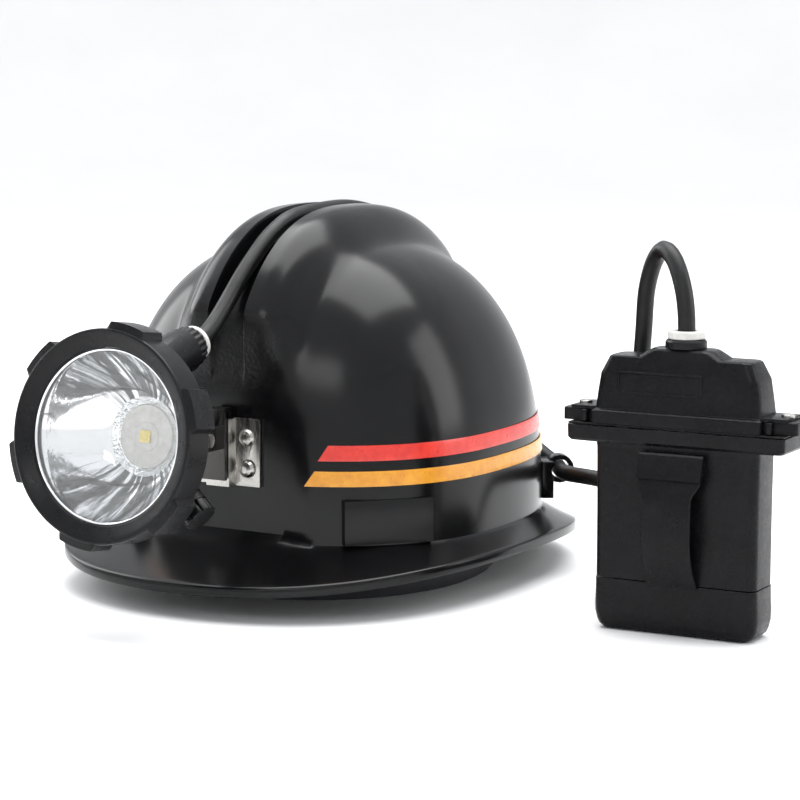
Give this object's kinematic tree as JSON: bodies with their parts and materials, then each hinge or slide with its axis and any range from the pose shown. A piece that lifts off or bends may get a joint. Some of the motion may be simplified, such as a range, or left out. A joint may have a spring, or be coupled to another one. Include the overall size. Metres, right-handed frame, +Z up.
{
  "type": "miner's cap lamp",
  "caption": "Hard cap with a tilting headlamp on its front bracket, joined by a cord along the crown to a belt battery.",
  "frame": {"origin": "Centre of the footprint of the cap, headlamp and battery, on the surface that they stand on.", "axes": "+Z up, the cap faces -Y, and the battery stands on the cap's left, at +X."},
  "size_m": [0.392, 0.3352, 0.1853],
  "materials": {
    "shell_gloss": "glossy moulded black with fine scuffs",
    "red_stripe": "reflective red tape",
    "yellow_stripe": "reflective amber tape",
    "band_plastic": "soft grey-black moulding",
    "webbing": "woven black webbing",
    "foam": "closed-cell foam",
    "steel": "bright pressed stainless steel",
    "lamp_plastic": "satin black moulding",
    "lens_glass": "clear flat window",
    "rubber": "black rubber",
    "mirror_coat": "bright vacuum-metallised bowl",
    "white_plastic": "white moulding",
    "led_phosphor": "yellow phosphor",
    "aluminium": "cast aluminium",
    "case_plastic": "spark-eroded black moulding",
    "cell_wrap": "blue shrink wrap",
    "board": "green circuit board",
    "cord_rubber": "black rubber cord jacket"
  },
  "bodies": {
    "cap_and_battery": {"helmet_shell": "shell_gloss", "slot_boss_left": "shell_gloss", "slot_boss_right": "shell_gloss", "cord_clip": "shell_gloss", "stripe_red_left": "red_stripe", "stripe_red_right": "red_stripe", "stripe_yellow_left": "yellow_stripe", "stripe_yellow_right": "yellow_stripe", "headband": "band_plastic", "ratchet_housing": "band_plastic", "cradle": "webbing", "sweat_pad": "foam", "bracket": "steel", "lamp_hook": "steel", "hinge_pin": "steel", "lid_screw_left": "steel", "lid_screw_right": "steel", "rivet_left_high": "steel", "rivet_left_low": "steel", "rivet_right_high": "steel", "rivet_right_low": "steel", "gasket": "rubber", "battery_gland": "rubber", "battery_gland_ring": "white_plastic", "battery_foot": "case_plastic", "battery_case": "case_plastic", "battery_lid": "case_plastic", "cell_pack": "cell_wrap", "circuit_board": "board", "cord_front": "cord_rubber", "cord_crown": "cord_rubber", "cord_link": "cord_rubber", "cord_coil": "cord_rubber", "cord_tail": "cord_rubber"},
    "headlamp": {"bezel": "lamp_plastic", "lens": "lens_glass", "seal_ring": "rubber", "reflector": "mirror_coat", "led_holder": "white_plastic", "led_chip": "led_phosphor", "heat_sink": "aluminium", "lamp_housing": "lamp_plastic", "lamp_back": "lamp_plastic", "lamp_gland": "rubber", "lamp_gland_ring": "white_plastic"},
    "switch": {"switch_knob": "lamp_plastic"},
    "ratchet": {"ratchet_knob": "band_plastic"},
    "clip": {"belt_clip": "case_plastic"}
  },
  "joints": [
    {"name": "headlamp_tilt", "type": "hinge", "parent": "cap_and_battery", "child": "headlamp", "pos_m": [-0.07998, -0.08545, 0.08], "axis": [1, 0, 0], "range_deg": [-15, 20], "deforming": ["cord_front"]},
    {"name": "switch_turn", "type": "hinge", "parent": "headlamp", "child": "switch", "pos_m": [-0.04338, -0.13778, 0.05644], "axis": [0.7547, -0.0845, -0.6506], "range_deg": [-60, 60]},
    {"name": "ratchet_turn", "type": "hinge", "parent": "cap_and_battery", "child": "ratchet", "pos_m": [-0.07998, 0.14285, 0.011], "axis": [0, 1, 0], "continuous": true},
    {"name": "belt_clip_flex", "type": "hinge", "parent": "cap_and_battery", "child": "clip", "pos_m": [0.13965, -0.02915, 0.0832], "axis": [0.9994, 0.0349, 0], "range_deg": [-10, 0], "stiffness_Nm_per_rad": 1.2}
  ]
}
